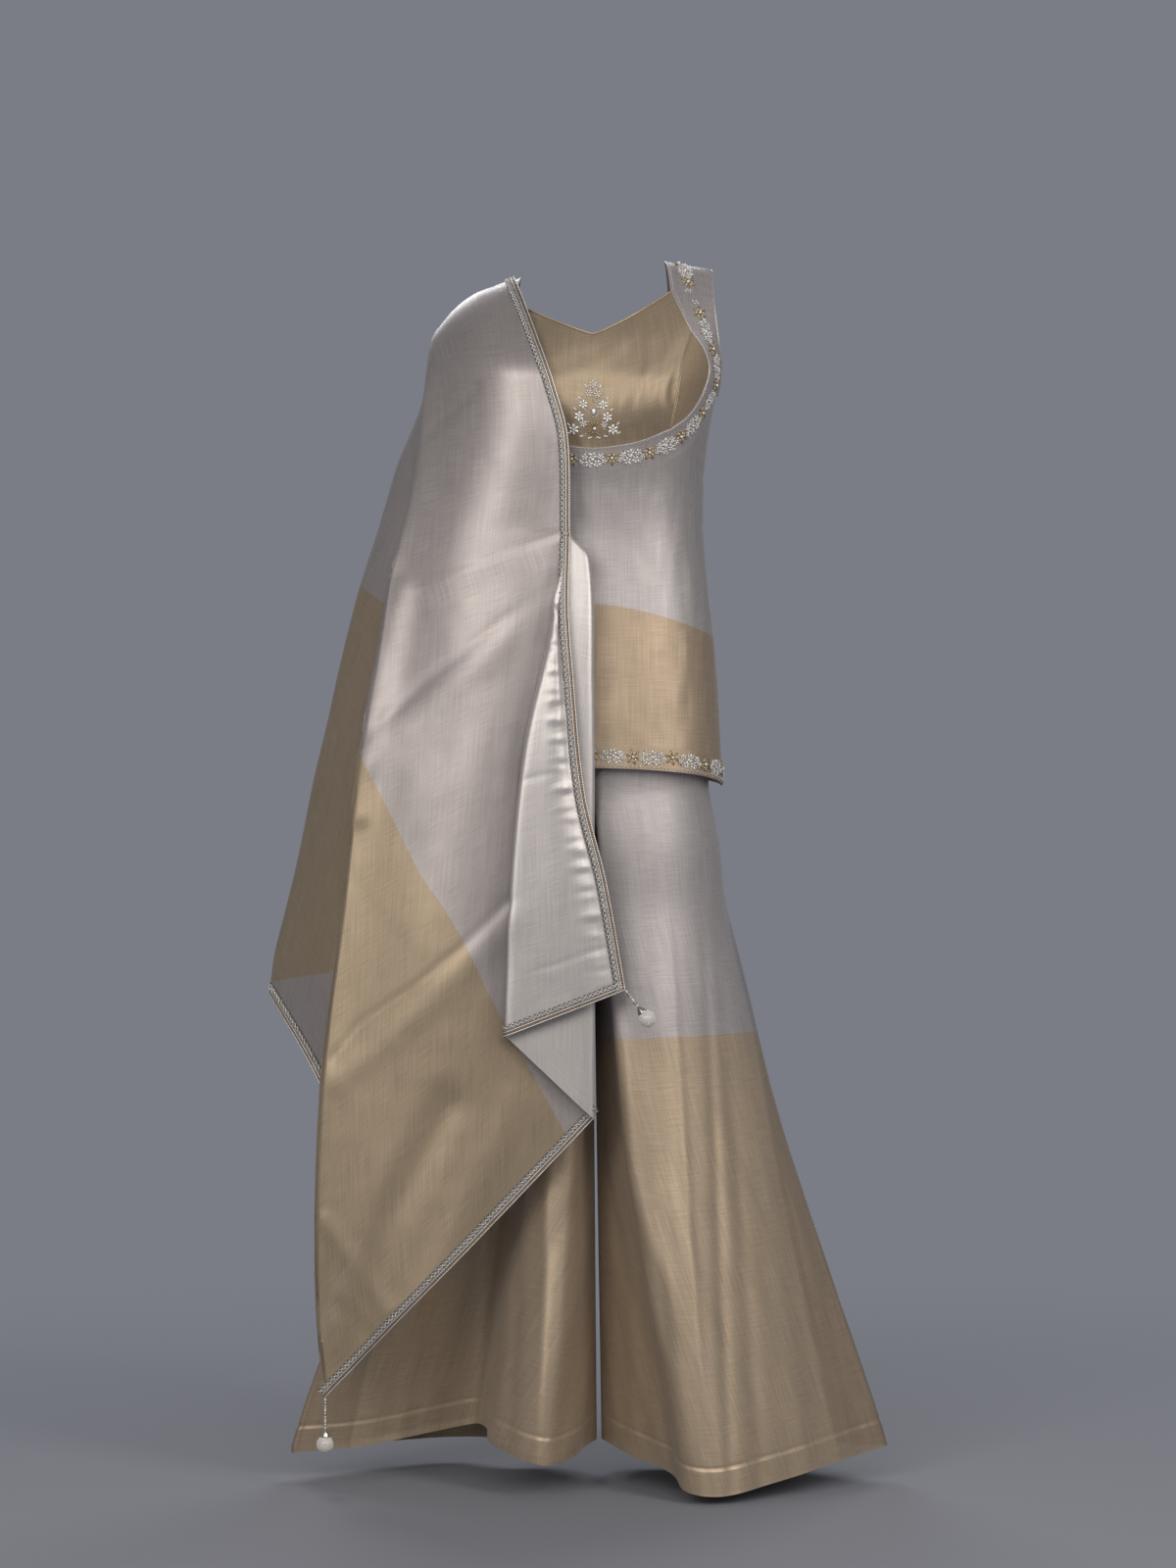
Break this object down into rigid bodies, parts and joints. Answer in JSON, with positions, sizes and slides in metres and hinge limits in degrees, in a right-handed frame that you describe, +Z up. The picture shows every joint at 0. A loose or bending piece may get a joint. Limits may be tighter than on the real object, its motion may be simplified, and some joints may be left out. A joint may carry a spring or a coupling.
{
  "type": "palazzo suit",
  "caption": "Sleeveless short top, wide palazzo trousers and a long stole hung over the right shoulder, hollow as worn, with woven gold blocks, beaded bands, braid and tassels.",
  "frame": {"origin": "centre line at shoulder height, where the wearer holds the suit up", "axes": "+Z up along the body, -Y to the front, +X to the wearer's left"},
  "size_m": [0.782, 0.3643, 1.5364],
  "materials": {
    "gold_tissue": "satin tissue with a gold metallic weft",
    "silver_tissue": "satin tissue with a silver metallic weft",
    "palazzo_tissue": "satin tissue, silver above and gold below",
    "stole_tissue": "sheer tissue, silver with a gold band",
    "embroidered_tissue": "satin with metallic thread and bead embroidery",
    "braid": "metallic thread braid",
    "tassel_beads": "pearl beads on a metal cap"
  },
  "bodies": {
    "root": {"band_left": "embroidered_tissue", "band_right": "embroidered_tissue", "body_back": "silver_tissue", "body_front": "silver_tissue", "dupatta_back": "stole_tissue", "dupatta_front": "stole_tissue", "dupatta_front_edge": "stole_tissue", "dupatta_front_middle": "stole_tissue", "dupatta_shoulder": "stole_tissue", "dupatta_side": "stole_tissue", "hem_border_back": "embroidered_tissue", "hem_border_front": "embroidered_tissue", "leg_left_back": "palazzo_tissue", "leg_left_front": "palazzo_tissue", "leg_right_back": "palazzo_tissue", "leg_right_front": "palazzo_tissue", "neck_piping_back": "silver_tissue", "neck_piping_front": "silver_tissue", "strap_left": "embroidered_tissue", "strap_right": "embroidered_tissue", "tassel_back_left": "tassel_beads", "tassel_back_right": "tassel_beads", "tassel_front_left": "tassel_beads", "tassel_front_right": "tassel_beads", "trim_back_edge": "braid", "trim_back_end": "braid", "trim_front_edge": "braid", "trim_front_end": "braid", "trim_front_end_edge": "braid", "trim_front_end_middle": "braid", "trim_neck": "braid", "trim_side_edge": "braid", "waistband": "silver_tissue", "yoke_back": "gold_tissue", "yoke_front_centre": "gold_tissue", "yoke_front_side_left": "gold_tissue", "yoke_front_side_right": "gold_tissue"}
  },
  "joints": []
}
